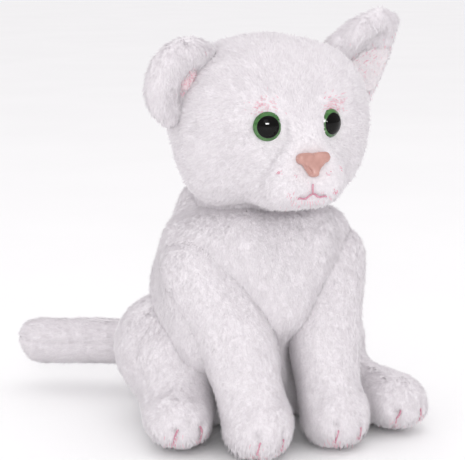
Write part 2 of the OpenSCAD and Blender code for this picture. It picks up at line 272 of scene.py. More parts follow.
def form(name, nodes, balls=(), rods=(), voxel=2.2 * MM, smooth=6):
    """One closed skin round some CAD nodes, filler balls and filler rods."""
    bm = bmesh.new()
    for n in nodes:
        bm.from_mesh(frame["nodes"][n].data)
    for centre, radius in balls:
        add_ball(bm, centre, radius)
    for a, b, ra, rb in rods:
        add_hull(bm, [(a, ra), (b, rb)])
    mesh = bpy.data.meshes.new(name)
    bm.to_mesh(mesh)
    bm.free()
    return keep_largest(remeshed(new_object(name, mesh), voxel, smooth))


def falloff(distance, radius):
    return np.exp(-(distance / radius) ** 2)


def swell(o, centre, radius, amount, direction=None):
    """Pushes the skin round a point along its normals, or along a direction."""
    co = coords(o)
    d = co - np.array(centre)
    w = falloff(np.linalg.norm(d, axis=1), radius)[:, None]
    push = normals(o) if direction is None else np.array(direction, float)
    set_coords(o, co + push * w * amount)


def to_path(co, points):
    """Distance from each vertex to a polyline."""
    best = np.full(len(co), 1e9)
    for a, b in zip(points, points[1:]):
        a, b = np.array(a, float), np.array(b, float)
        ab = b - a
        t = np.clip((co - a) @ ab / (ab @ ab), 0, 1)[:, None]
        best = np.minimum(best, np.linalg.norm(co - a - t * ab, axis=1))
    return best


def crease(o, points, width, depth):
    """Draws the skin in along a line, as a seam or a tuck does."""
    co = coords(o)
    w = falloff(to_path(co, points), width)[:, None]
    set_coords(o, co - normals(o) * w * depth)


def on_plane(o, point, normal, width, depth, keep=None):
    """Draws the skin in where a plane cuts it: a seam that runs right round."""
    co = coords(o)
    n = np.array(normal, float) / np.linalg.norm(normal)
    w = falloff((co - np.array(point)) @ n, width)
    if keep is not None:
        w = w * keep(co)
    set_coords(o, co - normals(o) * w[:, None] * depth)


def ruffle(o, size, amount, seed=0):
    """Slow unevenness of loose stuffing."""
    co, off = coords(o), Vector((seed * 7.3, seed * 3.1, 0))
    n = np.array([smooth_noise.noise(Vector(c) / size + off) for c in co])
    set_coords(o, co + normals(o) * n[:, None] * amount)


def puff(o, voxel=4.5 * MM, cap=2.2 * MM):
    """Blows the skin out as cloth over some frames, by cap at most from where it started."""
    shrink, frames = 1.0 * MM, 20
    remeshed(o, voxel)
    set_coords(o, coords(o) - normals(o) * shrink)
    start = coords(o)
    cloth = o.modifiers.new("cloth", "CLOTH")
    s = cloth.settings
    s.use_pressure = True
    s.uniform_pressure_force = 4.0
    s.effector_weights.gravity = 0
    s.tension_stiffness = s.compression_stiffness = 8
    s.shear_stiffness = 4
    s.bending_stiffness = 0.4
    cloth.point_cache.frame_start, cloth.point_cache.frame_end = 1, frames
    for f in range(1, frames + 1):
        bpy.context.scene.frame_set(f)
    apply_modifiers(o)
    bpy.context.scene.frame_set(1)
    move = coords(o) - start
    far = np.linalg.norm(move, axis=1, keepdims=True)
    set_coords(o, start + move * np.minimum(1, cap / np.maximum(far, 1e-9)))
    return refine(o)


def refine(o):
    """Once more as fine, for the creases to show."""
    sub = o.modifiers.new("sub", "SUBSURF")
    sub.levels = sub.render_levels = 1
    return apply_modifiers(o)


def flatten_under(o):
    """What would pass below the floor lies flat on it."""
    co = coords(o)
    co[:, 2] = np.maximum(co[:, 2], 0)
    set_coords(o, co)


def finish_skin(o, mat):
    o.data.materials.clear()
    o.data.materials.append(mat)
    o.data.polygons.foreach_set("use_smooth", [True] * len(o.data.polygons))
    return o


# ---------------------------------------------------------------- pile


def surface_samples(o, count, gen):
    """Points spread evenly over a skin, with its smooth normals there."""
    mesh = o.data
    mesh.calc_loop_triangles()
    tri = np.empty(len(mesh.loop_triangles) * 3, np.int32)
    mesh.loop_triangles.foreach_get("vertices", tri)
    tri = tri.reshape(-1, 3)
    co, no = coords(o), normals(o)
    a, b, c = co[tri[:, 0]], co[tri[:, 1]], co[tri[:, 2]]
    area = np.linalg.norm(np.cross(b - a, c - a), axis=1) / 2
    pick = gen.choice(len(tri), count, p=area / area.sum())
    u, v = gen.random(count), gen.random(count)
    flip = u + v > 1
    u[flip], v[flip] = 1 - u[flip], 1 - v[flip]
    w = 1 - u - v
    mix = lambda x: (x[tri[pick, 0]] * w[:, None] + x[tri[pick, 1]] * u[:, None]
                     + x[tri[pick, 2]] * v[:, None])
    n = mix(no)
    return mix(co), n / np.linalg.norm(n, axis=1, keepdims=True), area.sum()


def unit(v):
    return v / np.maximum(np.linalg.norm(v, axis=-1, keepdims=True), 1e-9)


def waves(p, size, seed):
    """A smooth pseudo-random field over space, three channels, about -1 to 1."""
    gen = np.random.default_rng(seed)
    out = np.zeros((len(p), 3))
    for k in range(5):
        d = unit(gen.normal(size=(3, 3))) * (2 * math.pi / size) * (0.6 + 0.35 * k)
        out += np.sin(p @ d.T + gen.random(3) * 6.28) / (1 + 0.5 * k)
    return out / 2.2


def pile_meshes(name, o, nap, tint, density=2.5, length=2.7 * MM, width=0.42 * MM,
                lift=0.26, seed=1, avoid=(), shorten=None):
    """Fibres of the pile as thin leaning blades, one mesh for each tint.
    nap gives the lie of the pile, tint the share of pink; avoid are closed skins."""
    gen = np.random.default_rng(seed)
    _, _, area = surface_samples(o, 10, gen)
    count = int(area / MM ** 2 * density)
    p, n, _ = surface_samples(o, count, gen)
    keep = p[:, 2] > 0.3 * MM  # none under the seat and the paws
    for tree in avoid:
        keep &= np.array([not buried(tree, Vector(q)) for q in p])
    p, n = p[keep], n[keep]
    k = len(p)
    lie = nap(p) + 0.30 * waves(p, 16 * MM, seed) + 0.22 * waves(p, 5 * MM, seed + 9)
    lie = unit(lie - (lie * n).sum(1, keepdims=True) * n)
    # fibres gather into tufts: each leans a little towards its tuft's middle
    middles = p[gen.choice(k, max(k // 14, 1), replace=False)]
    tree = KDTree(len(middles))
    for i, q in enumerate(middles):
        tree.insert(q, i)
    tree.balance()
    near = middles[[tree.find(q)[1] for q in p]]
    gather = (near + lie * length * 0.6 - p)
    size = length * gen.uniform(0.65, 1.15, (k, 1))
    if shorten is not None:
        size *= shorten(p)[:, None]
    up = lift + np.abs(gen.normal(0, 0.12, (k, 1))) + 0.5 * (gen.random((k, 1)) < 0.12)
    lean = unit(n * up + lie + gather * (0.14 / length) + gen.normal(0, 0.12, (k, 3)))
    side = unit(np.cross(lean, n)) * (width / 2) * gen.uniform(0.7, 1.2, (k, 1))
    root = p - n * 0.5 * MM
    mid = root + unit(lean + n * 0.35) * size * 0.55
    tip = mid + unit(lean - n * 0.10) * size * 0.5
    points = np.stack([root - side, root + side, mid + side * 0.8, mid - side * 0.8, tip], 1)
    sunk = np.maximum(0.05 * MM - points[:, :, 2].min(axis=1), 0)
    points[:, :, 2] += sunk[:, None]  # no fibre goes through the floor
    pink, rose = tint(p)
    dice = gen.random(k)
    shade = gen.choice([CLEAN, BRIGHT, SHADE], k, p=[0.56, 0.28, 0.16])
    kind = np.where(dice < rose, PINK, np.where(dice < pink + rose, PALE_PINK, shade))
    made = []
    for t, mat in enumerate(PILE):
        pts, nn = points[kind == t], n[kind == t]
        if len(pts) < 12:
            continue
        made.append(blades("%s_%s" % (name, mat.name), pts, nn, mat))
    return made


def buried(tree, q):
    """Is q well inside a closed skin?"""
    hit, no, _, dist = tree.find_nearest(q)
    return hit is not None and (q - hit).dot(no) < 0 and dist > 2.5 * MM


def blades(name, pts, n, mat):
    """A quad and a triangle for each fibre, shaded with the skin's own normals."""
    k = len(pts)
    mesh = bpy.data.meshes.new(name)
    mesh.vertices.add(k * 5)
    mesh.vertices.foreach_set("co", pts.astype(np.float32).ravel())
    base = np.arange(k, dtype=np.int32)[:, None] * 5
    loops = (base + np.array([[0, 1, 2, 3, 3, 2, 4]], np.int32)).ravel()
    mesh.loops.add(k * 7)
    mesh.loops.foreach_set("vertex_index", loops)
    mesh.polygons.add(k * 2)
    start = (np.arange(k, dtype=np.int32)[:, None] * 7 + np.array([[0, 4]], np.int32)).ravel()
    mesh.polygons.foreach_set("loop_start", start)
    mesh.polygons.foreach_set("use_smooth", [True] * (k * 2))
    mesh.update(calc_edges=True)
    own = unit(np.cross(pts[:, 1] - pts[:, 0], pts[:, 4] - pts[:, 0]))
    own *= np.sign((own * n).sum(1, keepdims=True) + 1e-9)
    soft = unit(n + 0.2 * own)
    mesh.normals_split_custom_set_from_vertices(np.repeat(soft, 5, axis=0).tolist())
    mesh.materials.append(mat)
    o = new_object(name, mesh)
    return o


# ---------------------------------------------------------------- where the pink goes

EYE_MID = (EYE["right"] + EYE["left"]) / 2


def spots(p, places):
    """Sum of soft dots: each place is (centre, radius, strength)."""
    total = np.zeros(len(p))
    for centre, radius, strength in places:
        total += strength * falloff(np.linalg.norm(p - np.array(centre), axis=1), radius)
    return np.clip(total, 0, 1)


def head_tint(tree):
    """Blush over the eyes, a few whisker dots and pink round the mouth, laid on the skin; the pink
    round the mouth is partly its own pink and partly painted shade under the nose.
    """
    on = lambda x, y, z: tree.find_nearest(NOSE + mm(x, y, z))[0]
    on_eye = lambda s, x, z: tree.find_nearest(EYE[s] + mm(x, 0, z))[0]
    brow = [(on_eye(s, k * x, z), 3.0 * MM, 1.0) for s, k in SIDES
            for x, z in ((-1, 7), (2.5, 6.6))]
    dots = [(on(k * x, 3 + 0.45 * x, z), 1.0 * MM, 0.85) for _, k in SIDES
            for x, z in ((6.5, -4.0), (11.5, -3.3), (9.0, -10.0))]
    # pink spots just under the nose: partly the muzzle's pink, partly painted shade under the nose
    mouth = [(on(x, 4, z), 3.6 * MM, 0.3) for x, z in ((-5, -15), (0, -12), (5, -15))]

    def tint(p):
        rose = spots(p, dots + [(c, r * 0.6, 0.25) for c, r, _ in brow])
        return spots(p, brow + mouth), rose
    return tint


def paw_tint(marks):
    """Pink at the toe stitches, and a little under the paw."""
    def tint(p):
        under = np.clip((5 * MM - p[:, 2]) / (5 * MM), 0, 1)
        places = [(m, 3.0 * MM, 0.45) for m in marks]
        return spots(p, places) + 0.12 * under, spots(p, [(m, 1.6 * MM, 0.5) for m in marks])
    return tint


def plain_tint(p):
    zero = np.zeros(len(p))
    return zero, zero


def ear_tint(side):
    """A faint blush on the rim, where it meets the hollow of the ear."""
    def tint(p):
        local = (p - np.array(EAR[side])) @ EAR_FRAME[side]
        inside = falloff(np.linalg.norm((local - EAR_HOLLOW[side]) / EAR_SPREAD[side], axis=1), 1.0)
        ahead = np.clip(0.5 - local[:, 1] / (4 * MM), 0, 1)
        return 0.5 * inside * ahead, 0.03 * inside * ahead
    return tint


def lining_tint(side):
    """The pink is deepest down in the fold of the ear. On the right ear most fibres are pale pink
    besides, partly the lining's pink and partly painted shade in the slit.
    """
    if side == "right":
        # right ear: pale pink on most fibres, partly painted shade in the slit of the fold
        fold, pale, deep = [mm(-8, 0, -3), mm(3, 0, 0)], 0.7, 0.35
    else:
        fold, pale, deep = [mm(-3, 0, 0), mm(-7, 0, 18)], 0.0, 0.3

    def tint(p):
        local = (p - np.array(EAR[side])) @ EAR_FRAME[side]
        local[:, 1] = 0
        near = falloff(to_path(local, fold), 3.2 * MM)
        return np.full(len(p), pale), deep * near
    return tint


# ---------------------------------------------------------------- threads and eyes


def along_path(points):
    """At each point: the point, the way ahead, and a direction square to it that
    turns as little as it can from one point to the next."""
    x = None
    for i, p in enumerate(points):
        ahead = (points[min(i + 1, len(points) - 1)] - points[max(i - 1, 0)]).normalized()
        x = ahead.orthogonal() if x is None else x - x.dot(ahead) * ahead
        x = x.normalized()
        yield p, ahead, x


def tube(bm, points, radius, sides=7):
    """A round strand with rounded ends along a list of points."""
    rings, last = [], len(points) - 1
    for i, (p, ahead, x) in enumerate(along_path(points)):
        y = ahead.cross(x)
        r = radius * (0.45 if i in (0, last) else 1)
        rings.append([bm.verts.new(p + (x * math.cos(a) + y * math.sin(a)) * r)
                      for a in (2 * math.pi * k / sides for k in range(sides))])
    for a, b in zip(rings, rings[1:]):
        for k in range(sides):
            bm.faces.new((a[k], a[(k + 1) % sides], b[(k + 1) % sides], b[k]))
    bm.faces.new(list(reversed(rings[0])))
    bm.faces.new(rings[-1])


def resampled(points, step):
    """Evenly spaced points along a rounded-off polyline."""
    pts = [Vector(p) for p in points]
    for _ in range(3):
        cut = [pts[0]]
        for a, b in zip(pts, pts[1:]):
            cut += [a.lerp(b, 0.25), a.lerp(b, 0.75)]
        pts = cut + [pts[-1]]
    out, carry = [pts[0]], 0.0
    for a, b in zip(pts, pts[1:]):
        length = (b - a).length
        while length > 1e-9 and carry + length >= step:
            t = (step - carry) / length
            a = a.lerp(b, t)
            out.append(a)
            length = (b - a).length
            carry = 0.0
        carry += length
    return out


def twisted(bm, points, radius, turn=1.7 * MM, plies=3, step=0.28 * MM):
    """A plied sewing thread: strands wound round a path."""
    path = resampled(points, step)
    if len(path) < 3:
        return
    for ply in range(plies):
        strand = []
        for i, (p, ahead, x) in enumerate(along_path(path)):
            a = 2 * math.pi * (ply / plies + i * step / turn)
            strand.append(p + (x * math.cos(a) + ahead.cross(x) * math.sin(a)) * radius * 0.48)
        tube(bm, strand, radius * 0.56)


def mesh_piece(name, bm, mat, body, node):
    """A finished hard piece or thread, fixed to its body in place of a CAD node."""
    mesh = bpy.data.meshes.new(name)
    bmesh.ops.recalc_face_normals(bm, faces=bm.faces)
    bm.to_mesh(mesh)
    bm.free()
    mesh.polygons.foreach_set("use_smooth", [True] * len(mesh.polygons))
    mesh.materials.append(mat)
    o = new_object(name, mesh)
    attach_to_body(o, body)
    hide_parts(node)


def skin_tree(o):
    bm = bmesh.new()
    bm.from_mesh(o.data)
    tree = BVHTree.FromBMesh(bm)
    bm.free()
    return tree


def laid(tree, points, lift):
    """Points moved onto a skin, standing a little proud of it."""
    out = []
    for p in points:
        q, n, _, _ = tree.find_nearest(Vector(p))
        out.append(q + n * lift)
    return out


def strokes(node):
    """The two ends of each separate stitch of a node."""
    bm = bmesh.new()
    bm.from_mesh(frame["nodes"][node].data)
    bmesh.ops.remove_doubles(bm, verts=bm.verts, dist=1e-6)
    lines = []
    for group in islands(bm):
        group.sort(key=lambda v: v.co.z)
        few = max(len(group) // 5, 1)
        low = sum((v.co for v in group[:few]), Vector()) / few
        high = sum((v.co for v in group[-few:]), Vector()) / few
        lines.append((low, high))
    bm.free()
    return lines


def lathe(name, profile, centre, axis, mat, node, segments=64):
    """A turned shape: profile is (radius, height) pairs, heights along the axis."""
    bm = bmesh.new()
    z = Vector(axis).normalized()
    x = z.orthogonal().normalized()
    y = z.cross(x)
    rings = []
    for r, h in profile:
        if r < 1e-6:
            rings.append([bm.verts.new(centre + z * h)])
        else:
            rings.append([bm.verts.new(centre + z * h + (x * math.cos(a) + y * math.sin(a)) * r)
                          for a in (2 * math.pi * k / segments for k in range(segments))])
    for a, b in zip(rings, rings[1:]):
        for k in range(segments):
            k2 = (k + 1) % segments
            ring = [a[k % len(a)], a[k2 % len(a)], b[k2 % len(b)], b[k % len(b)]]
            face = list(dict.fromkeys(ring))
            if len(face) > 2:
                bm.faces.new(face)
    mesh_piece(name, bm, mat, "head", node)


# ---------------------------------------------------------------- camera, light, floor

VIEW_AZIMUTH, VIEW_ELEVATION = math.radians(-24), math.radians(11)
LOOK_AT = Vector((-11.6, 0, 88.6)) * MM
VIEW_DISTANCE = 0.62
towards_camera = Vector((math.sin(VIEW_AZIMUTH) * math.cos(VIEW_ELEVATION),
                         -math.cos(VIEW_AZIMUTH) * math.cos(VIEW_ELEVATION),
                         math.sin(VIEW_ELEVATION)))


def studio():
    """The camera, the soft lights, the pale surround and the floor."""
    cam = bpy.data.objects.new("camera", bpy.data.cameras.new("camera"))
    cam.data.lens, cam.data.sensor_width = 110.1, 36
    cam.data.clip_start, cam.data.clip_end = 0.01, 50
    cam.location = LOOK_AT + towards_camera * VIEW_DISTANCE
    cam.rotation_euler = towards_camera.to_track_quat("Z", "Y").to_euler()
    bpy.context.scene.collection.objects.link(cam)
    bpy.context.scene.camera = cam

    def softbox(name, place, size, watts):
        light = bpy.data.lights.new(name, "AREA")
        light.shape = "RECTANGLE"
        light.size, light.size_y, light.energy = *size, watts
        o = bpy.data.objects.new(name, light)
        o.location = Vector(place)
        o.rotation_euler = (o.location - LOOK_AT).to_track_quat("Z", "Y").to_euler()
        bpy.context.scene.collection.objects.link(o)
        return o

    by_camera = LOOK_AT + towards_camera
    softbox("front", by_camera + Vector((0, 0, 0.14)), (0.16, 0.075), 1.1)
    catch = softbox("catch", by_camera + Vector((0.06, 0, 0.14)), (0.36, 0.14), 11)
    catch.visible_diffuse = False  # a small strip light that only gloss shows, in the eyes
    softbox("side", (-0.50, -0.85, 0.70), (0.5, 0.5), 0.9)
    softbox("top", (0.10, -0.15, 1.20), (0.9, 0.9), 1.1)

    world = bpy.data.worlds.new("studio")
    world.use_nodes = True
    t = world.node_tree
    bright = t.nodes["Background"]
    bright.inputs["Color"].default_value = (1.0, 0.985, 1.0, 1)
    bright.inputs["Strength"].default_value = 0.97
    dim = t.nodes.new("ShaderNodeBackground")  # what gloss reflects, so that black stays black
    dim.inputs["Color"].default_value = (0.30, 0.30, 0.31, 1)
    path, mix = t.nodes.new("ShaderNodeLightPath"), t.nodes.new("ShaderNodeMixShader")
    t.links.new(path.outputs["Is Glossy Ray"], mix.inputs["Fac"])
    t.links.new(bright.outputs["Background"], mix.inputs[1])
    t.links.new(dim.outputs["Background"], mix.inputs[2])
    t.links.new(mix.outputs["Shader"], t.nodes["World Output"].inputs["Surface"])
    bpy.context.scene.world = world
    bpy.context.scene.view_settings.view_transform = "Standard"

    bm = bmesh.new()
    bmesh.ops.create_grid(bm, x_segments=1, y_segments=1, size=6.0)
    mesh = bpy.data.meshes.new("floor")
    bm.to_mesh(mesh)
    bm.free()
    pale = material("floor_paper", (0.98, 0.98, 0.98), 0.9)
    add_noise(pale, 6, (0.97, 0.97, 0.97), (0.985, 0.985, 0.985))
    mesh.materials.append(pale)
    floor = new_object("floor", mesh)
    floor.location.z = -0.0006


studio()

# ---------------------------------------------------------------- skins


def flow(direction):
    """Pile that lies one way all over."""
    d = unit(np.array(direction, float))
    return lambda p: np.tile(d, (len(p), 1))


def torso_form():
    fill = [(SHOULDER[s], 17.5 * MM) for s, _ in SIDES]
    fill += [(HAUNCH[s], 22 * MM) for s, _ in SIDES]
    fill += [(TAIL + mm(0, -4, 0), 11 * MM)]
    fill += [(NECK + mm(k * 20, -6, -17), 20 * MM) for _, k in SIDES]
    fill += [(NECK + mm(k * 10, 13, -8), 23.5 * MM) for k in (-1, 0, 1)]
    fill += [(NECK + mm(k * 10, 12, -30), 27 * MM) for _, k in SIDES]
    rods = [(mm(k * 13, -15, 86), mm(k * 2, -24, 58), 18 * MM, 13 * MM) for k in (-1, 0, 1)]
    rods += [(mm(k * 31, -5.5, 73), mm(k * 26, -11, 46), 18 * MM, 18 * MM) for _, k in SIDES]
    o = form("torso_skin", ["back_panel_right", "back_panel_left", "chest_panel", "seat_panel",
                            "torso_stuffing"], fill, rods, smooth=10)
    puff(o)
    refine(o)
    for _, k in SIDES:
        swell(o, mm(k * 26, 34, 66), 26 * MM, 2.5 * MM)
    for _, k in SIDES:
        crease(o, [mm(k * 22, -26, 96), mm(k * 22, -33, 82), mm(k * 18, -34, 70)],
               1.3 * MM, 0.7 * MM)
    crease(o, [mm(0, 30, 96), mm(0, 46, 66), mm(0, 46, 30)], 1.3 * MM, 0.8 * MM)
    ruffle(o, 22 * MM, 0.7 * MM, 1)
    flatten_under(o)
    return o


def neck_form():
    """The short soft neck, hidden between the chin and the shoulders."""
    fill = [(NECK + mm(k * 9, 0, 6), 19.5 * MM) for _, k in SIDES]
    fill += [(NECK + mm(0, 6, 6), 22.5 * MM), (NECK + mm(0, -6, 6), 18.5 * MM)]
    return refine(form("neck_skin_soft", ["neck_skin", "neck_stuffing"], fill, smooth=8))


def head_form():
    fill = [(HEAD + mm(k * 14, 12, -14), 18 * MM) for _, k in SIDES]
    fill += [(NOSE + mm(k * 6, 17, -6), 13.5 * MM) for _, k in SIDES]
    bridge = [NOSE + mm(k * 2.5, 15, 14) for _, k in SIDES]
    rods = [(b, NOSE + mm(k * 3.5, 14, 2), 8 * MM, 10 * MM) for b, (_, k) in zip(bridge, SIDES)]
    rods += [(b, NOSE + mm(0, 27, 27), 8 * MM, 12 * MM) for b in bridge]
    o = form("head_skin", ["head_side_right", "head_side_left", "head_gusset", "muzzle_panel",
                           "chin_panel", "head_stuffing"], fill, rods, smooth=5)
    puff(o, voxel=4 * MM, cap=1.8 * MM)
    refine(o)
    for side, k in SIDES:
        eye = EYE[side]
        swell(o, NOSE + mm(k * 8.5, 5.5, -10), 6.5 * MM, 2.2 * MM)
        crease(o, [NOSE + mm(k * x, y, z) for x, y, z in
                   ((11, 10, 10), (15, 12, 4), (21, 13, -6), (20, 14, -16))], 4 * MM, 2.0 * MM)
        swell(o, NOSE + mm(k * 26, 18, -10), 13 * MM, 1.2 * MM)
        swell(o, HEAD + mm(k * 42, 18, -16), 20 * MM, -3.0 * MM)
        swell(o, HEAD + mm(k * 28, -2, -30), 14 * MM, 2.5 * MM, (0, -0.3, -1))
        swell(o, eye + mm(k * 2, 2, 10), 7 * MM, 1.2 * MM)
        swell(o, eye + mm(k * 2, 0, -9), 6 * MM, 0.8 * MM)
        swell(o, eye + mm(k * 2, 1, 0), 7 * MM, -1.8 * MM)
    swell(o, NOSE + mm(0, 8, 10), 7 * MM, 2.2 * MM, (0, -1, 0.15))
    swell(o, NOSE + mm(0, 4, -21), 6 * MM, 1.8 * MM)
    crease(o, [NOSE + mm(0, 1, -5), NOSE + mm(0, 2, -12)], 1.3 * MM, 1.6 * MM)
    mouth = [NOSE + mm(k * x, 2 + 0.3 * x, z) for k, x, z in
             ((-1, 12, -18.5), (-1, 6.5, -15.5), (1, 0, -12), (1, 6.5, -15.5), (1, 12, -18.5))]
    crease(o, mouth, 1.6 * MM, 1.6 * MM)
    lo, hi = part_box("head_gusset")
    above = lambda co: np.clip((co[:, 2] - EYE_MID.z - 4 * MM) / (8 * MM), 0, 1)
    for x in (lo.x, hi.x):
        on_plane(o, (x, 0, 0), (1, 0, 0), 1.2 * MM, 0.3 * MM, above)
    ruffle(o, 20 * MM, 0.6 * MM, 2)
    seat(o, NOSE, mm(0, -1, 0.2), 5.5 * MM, 3.0 * MM)
    for side, _ in SIDES:
        seat(o, EYE[side], eye_axis(side), 6.0 * MM, 3.6 * MM)
    return o


def eye_axis(side):
    return (middle("pupil_" + side) - middle("eye_washer_" + side)).normalized()


def seat(o, centre, axis, radius, depth):
    """Lets a hard part bed into the skin: no skin above a plane under its rim."""
    co = coords(o)
    z = np.array(Vector(axis).normalized())
    d = co - np.array(centre)
    h = d @ z
    r = np.linalg.norm(d - h[:, None] * z, axis=1)
    near = (h > -12 * MM) & (r < radius * 1.4)
    w = np.where(near, np.clip((radius * 1.4 - r) / (radius * 0.4), 0, 1), 0)
    over = np.maximum(h + depth, 0) * w
    set_coords(o, co - z * over[:, None])


def add_toes(o, lines, tip):
    """Draws the skin in along the stitches and swells a toe on each side of them."""
    for low, high in lines:
        crease(o, [low + mm(0, 4, -3), low, high, high + mm(0, 3, 3)], 1.7 * MM, 2.0 * MM)
    first, last = sorted(low.x for low, _ in lines)
    for x in (first - 5 * MM, (first + last) / 2, last + 5 * MM):
        swell(o, (x, tip.y + 2 * MM, tip.z), 5 * MM, 1.2 * MM)


def foreleg_form(side, k):
    names = ["foreleg_outer_" + side, "foreleg_inner_" + side, "foreleg_stuffing_" + side]
    o = form("foreleg_skin_" + side, names, smooth=5)
    puff(o, voxel=4 * MM, cap=1.6 * MM)
    refine(o)
    add_toes(o, strokes("toe_stitches_" + side), PAW[side])
    ankle = PAW[side] + mm(0, 20, 22)
    swell(o, ankle, 15 * MM, -2.0 * MM)
    swell(o, PAW[side] + mm(0, 14, 2), 15 * MM, 1.5 * MM)
    wrist = PAW[side] + mm(0, 4, 17)
    crease(o, [wrist + mm(-9, 6, 0), wrist, wrist + mm(9, 6, 0)], 4 * MM, 0.9 * MM)
    sh = SHOULDER[side]
    crease(o, [sh + mm(-k * 2, -18, -2), sh.lerp(PAW[side], 0.45) + mm(0, -13, 0),
               PAW[side] + mm(0, 1, 18)], 1.2 * MM, 0.7 * MM)
    ruffle(o, 15 * MM, 0.7 * MM, 3 + k)
    flatten_under(o)
    return o


def hindleg_form(side, k):
    names = ["thigh_outer_" + side, "thigh_inner_" + side, "hind_stuffing_" + side]
    h, foot = HAUNCH[side], FOOT[side]
    rods = [(h + mm(k * 1, 2, 3), h + mm(k * 2, -10, 1), 26 * MM, 23 * MM)]
    if side == "right":
        rods.append((h + mm(k * 3, -11, -4), foot + mm(-k * 2, 14, 4), 20 * MM, 14 * MM))
    o = form("hindleg_skin_" + side, names, rods=rods, smooth=6)
    puff(o, voxel=4 * MM, cap=1.8 * MM)
    refine(o)
    add_toes(o, strokes("foot_stitches_" + side), foot)
    ankle = h.lerp(foot, 0.62)
    co = coords(o)
    near_foot = falloff(np.linalg.norm(co - np.array(foot + mm(0, 13, 6)), axis=1), 22 * MM)
    co[:, 2] *= 1 - 0.17 * np.minimum(1, 1.3 * near_foot)  # the foot is flatter than the paw
    set_coords(o, co)
    crease(o, [h + mm(k * 14, -12, 22), h + mm(k * 24, -14, 4), ankle + mm(k * 12, 2, 2)],
           1.2 * MM, 0.6 * MM)
    ruffle(o, 16 * MM, 0.8 * MM, 6 + k)
    flatten_under(o)
    return o


def tail_form():
    o = form("tail_skin", ["tail_top", "tail_under", "tail_stuffing"], smooth=4)
    puff(o, voxel=4 * MM, cap=1.6 * MM)
    refine(o)
    lo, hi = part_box("tail_top")
    on_plane(o, (0, 0, lo.z), (0, 0, 1), 1.1 * MM, 0.6 * MM)
    ruffle(o, 18 * MM, 0.9 * MM, 9)
    return o


# Each ear is shaped in its own frame: x along the sewn root, z outwards, -y to the front.
def ear_frame(side):
    x, y = EAR_AXIS[side], Vector((0, 1, 0))
    return np.array([list(x), list(y), list(x.cross(y))]).T


EAR_FRAME = {s: ear_frame(s) for s, _ in SIDES}
EAR_HOLLOW = {"right": np.array([-1, -5, -1]) * MM, "left": np.array([2, -2, 9]) * MM}
EAR_SPREAD = {"right": np.array([5.5, 9, 2.8]) * MM, "left": np.array([9, 9, 13]) * MM}


def ear_form(side):
    """Right: a thick folded cushion. Left: a rolled edge, a thin edge and a sheet between."""
    bm = bmesh.new()
    if side == "right":
        bend = np.linspace(0.0, math.pi, 11)
        rim = [(mm(-2.2 - 14.6 * math.cos(a), -2.5 - 4.5 * math.sin(a), -3.0 + 14.3 * math.sin(a)),
                (4.8 + 0.9 * math.sin(a)) * MM) for a in bend]
        add_hull(bm, rim)
    else:
        roll = [((-13.5, -1, -3), 6.4), ((-16.5, -2, 11), 6.2), ((-16.5, -1.5, 22), 5.0),
                ((-12.5, -0.5, 27), 4.4), ((-6.5, 1, 24.5), 3.0), ((4.5, 2.5, 13.5), 2.8),
                ((14, 2.5, 0), 3.2), ((14, 2, -6), 3.4)]
        for (a, ra), (b, rb) in zip(roll, roll[1:]):
            add_hull(bm, [(mm(*a), ra * MM), (mm(*b), rb * MM)])
        sheet = [(-13, 2.5, -8), (13, 3, -8), (13, 3, -1), (3.5, 3.2, 13), (-7, 2.2, 23),
                 (-14, 1.5, 20)]
        add_hull(bm, [(mm(*p), 2.3 * MM) for p in sheet])
    mesh = bpy.data.meshes.new("ear")
    bm.to_mesh(mesh)
    bm.free()
    o = remeshed(new_object("ear_skin_" + side, mesh), 1.1 * MM, 6)
    keep_largest(o)
    if side == "right":
        crease(o, [mm(-9, -6, -3), mm(-2, -8, 0.5), mm(4, -6, -1)], 2.6 * MM, 2.6 * MM)
    local = coords(o)
    co = local @ EAR_FRAME[side].T + np.array(EAR[side])
    set_coords(o, co)
    ruffle(o, 12 * MM, 0.5 * MM, 12)
    return o


def ear_lining(side, skin):
    """The shorter, pinker cloth inside the ear, as its own sheet over the hollow."""
    bm = bmesh.new()
    bm.from_mesh(skin.data)
    origin, turn = EAR[side], EAR_FRAME[side]
    drop = []
    for v in bm.verts:
        local = np.array(v.co - origin) @ turn
        n = np.array(v.normal) @ turn
        inside = np.linalg.norm((local - EAR_HOLLOW[side]) / EAR_SPREAD[side]) < 1.05
        if not (inside and n[1] < -0.15):
            drop.append(v)
        else:
            v.co += v.normal * 0.5 * MM
    bmesh.ops.delete(bm, geom=drop, context="VERTS")
    mesh = bpy.data.meshes.new("ear_lining_soft_" + side)
    bm.to_mesh(mesh)
    bm.free()
    o = new_object("ear_lining_soft_" + side, mesh)
    thick = o.modifiers.new("thick", "SOLIDIFY")
    thick.thickness = 0.9 * MM
    return apply_modifiers(o)


def dress(name, skin, mat, attach, nodes, nap, tint, avoid, slot="white_plush", fill=0.7,
          **pile):
    """Finishes one skin and its pile and hands both to attach, which fixes only the head, neck and
    torso pieces to a body.
    """
    finish_skin(skin, mat)
    fibres = pile_meshes(name + "_fibres", skin, nap, tint, avoid=avoid, **pile)
    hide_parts(*nodes)
    for o in [skin] + fibres:
        attach(o)


